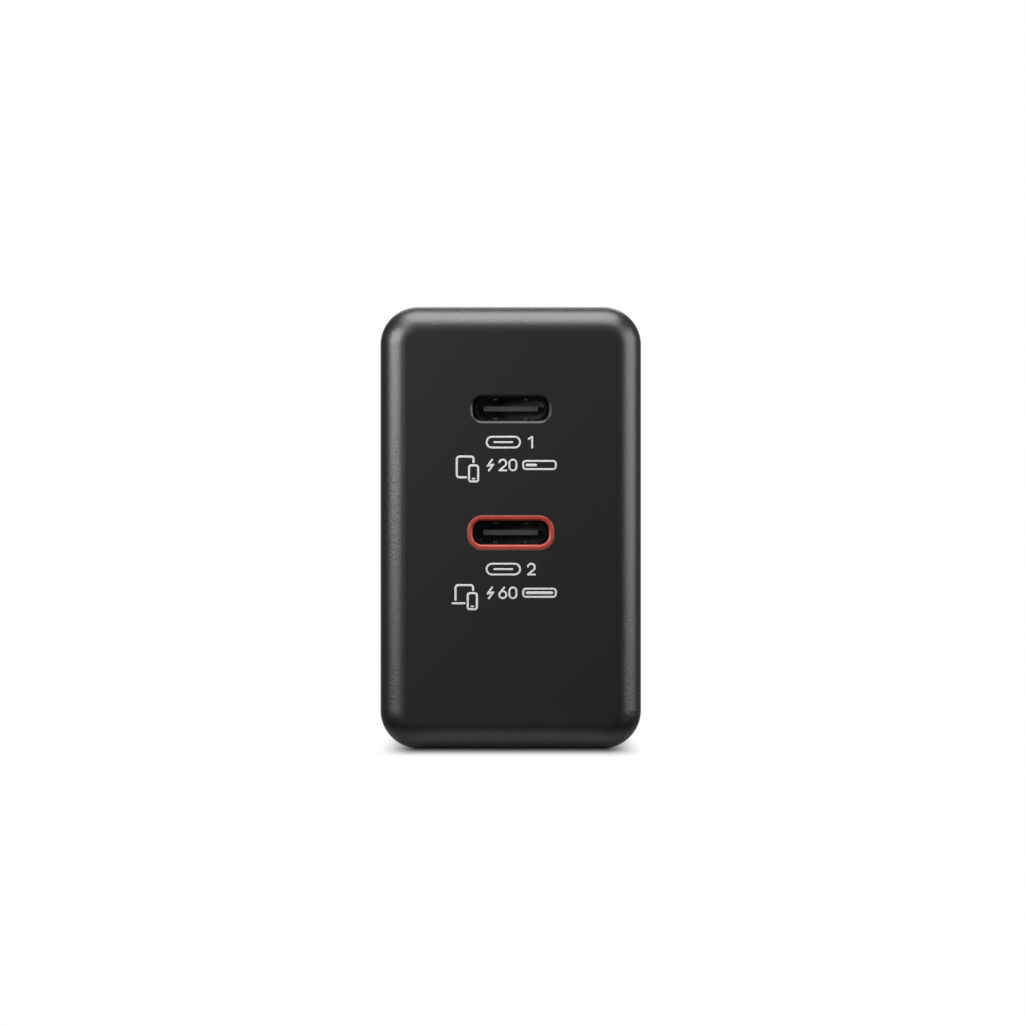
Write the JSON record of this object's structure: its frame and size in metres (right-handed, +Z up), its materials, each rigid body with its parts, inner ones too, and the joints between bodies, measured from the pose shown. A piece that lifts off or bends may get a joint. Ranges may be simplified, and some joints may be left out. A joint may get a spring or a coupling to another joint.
{
  "type": "usb wall charger",
  "caption": "Upright wall charger with a rounded black case, two USB-C sockets, one with a red ring, and flat blades that fold into the rear.",
  "frame": {"origin": "centre of the case's footprint, on the surface that it stands on", "axes": "+Z up along the case's height, -Y out of the face with the ports, +Y out of the face with the prongs, +X to the right as the ports are seen"},
  "size_m": [0.032, 0.04, 0.0542],
  "materials": {
    "case": "satin black moulded polycarbonate with a very fine texture",
    "ring": "red-orange moulded plastic",
    "shell": "dark nickel plate",
    "tongue": "dark liquid crystal polymer",
    "contact": "gold-plated copper alloy",
    "blade": "nickel-plated brass",
    "black_plastic": "moulded black plastic",
    "screw": "zinc plate",
    "spring": "phosphor bronze",
    "lead_blue": "blue insulation",
    "lead_brown": "brown insulation",
    "board": "green solder mask on glass fibre",
    "ferrite": "dark ferrite",
    "bobbin": "phenolic bobbin",
    "tape": "yellow polyester tape",
    "can_blue": "blue shrink sleeve",
    "can_bare": "bare aluminium can",
    "enamel_wire": "enamelled copper wire",
    "yellow_box": "yellow film capacitor case",
    "blue_disc": "blue epoxy",
    "green_disc": "dark green epoxy",
    "fuse_body": "brown moulded fuse",
    "white_chip": "white moulded package",
    "chip": "black moulded package",
    "pad": "silicone gap filler",
    "copper": "bare copper sheet",
    "film": "polyester film",
    "print": "light grey pad-printed ink"
  },
  "bodies": {
    "case": {"front_case": "case", "rear_cover": "case", "port_ring": "ring", "usb_shell_upper": "shell", "usb_shell_lower": "shell", "usb_tongue_upper": "tongue", "usb_tongue_lower": "tongue", "usb_contacts_upper": "contact", "usb_contacts_lower": "contact", "prong_retainer": "black_plastic", "retainer_screws": "screw", "contact_spring_left": "spring", "contact_spring_right": "spring", "mains_lead_left": "lead_blue", "mains_lead_right": "lead_brown", "port_board": "board", "main_board": "board", "board_header": "black_plastic", "header_pins": "contact", "transformer_core": "ferrite", "transformer_bobbin": "bobbin", "transformer_winding": "tape", "bulk_capacitors": "can_blue", "output_capacitors": "can_bare", "choke_core": "ferrite", "choke_winding": "enamel_wire", "x_capacitor": "yellow_box", "y_capacitor": "blue_disc", "fuse": "fuse_body", "thermistor": "green_disc", "bridge_rectifier": "chip", "optocoupler": "white_chip", "power_switch": "chip", "rectifier_switch": "chip", "controller_chip": "chip", "port_controller": "chip", "buck_inductors": "ferrite", "thermal_pad": "pad", "heat_spreader": "copper", "insulation_sheet": "film"},
    "prongs": {"prong_left": "blade", "prong_right": "blade", "prong_rotor": "black_plastic"}
  },
  "joints": [
    {"name": "prong_fold", "type": "hinge", "parent": "case", "child": "prongs", "pos_m": [0, 0.016, 0.017], "axis": [-1, 0, 0], "range_deg": [0, 90]}
  ]
}
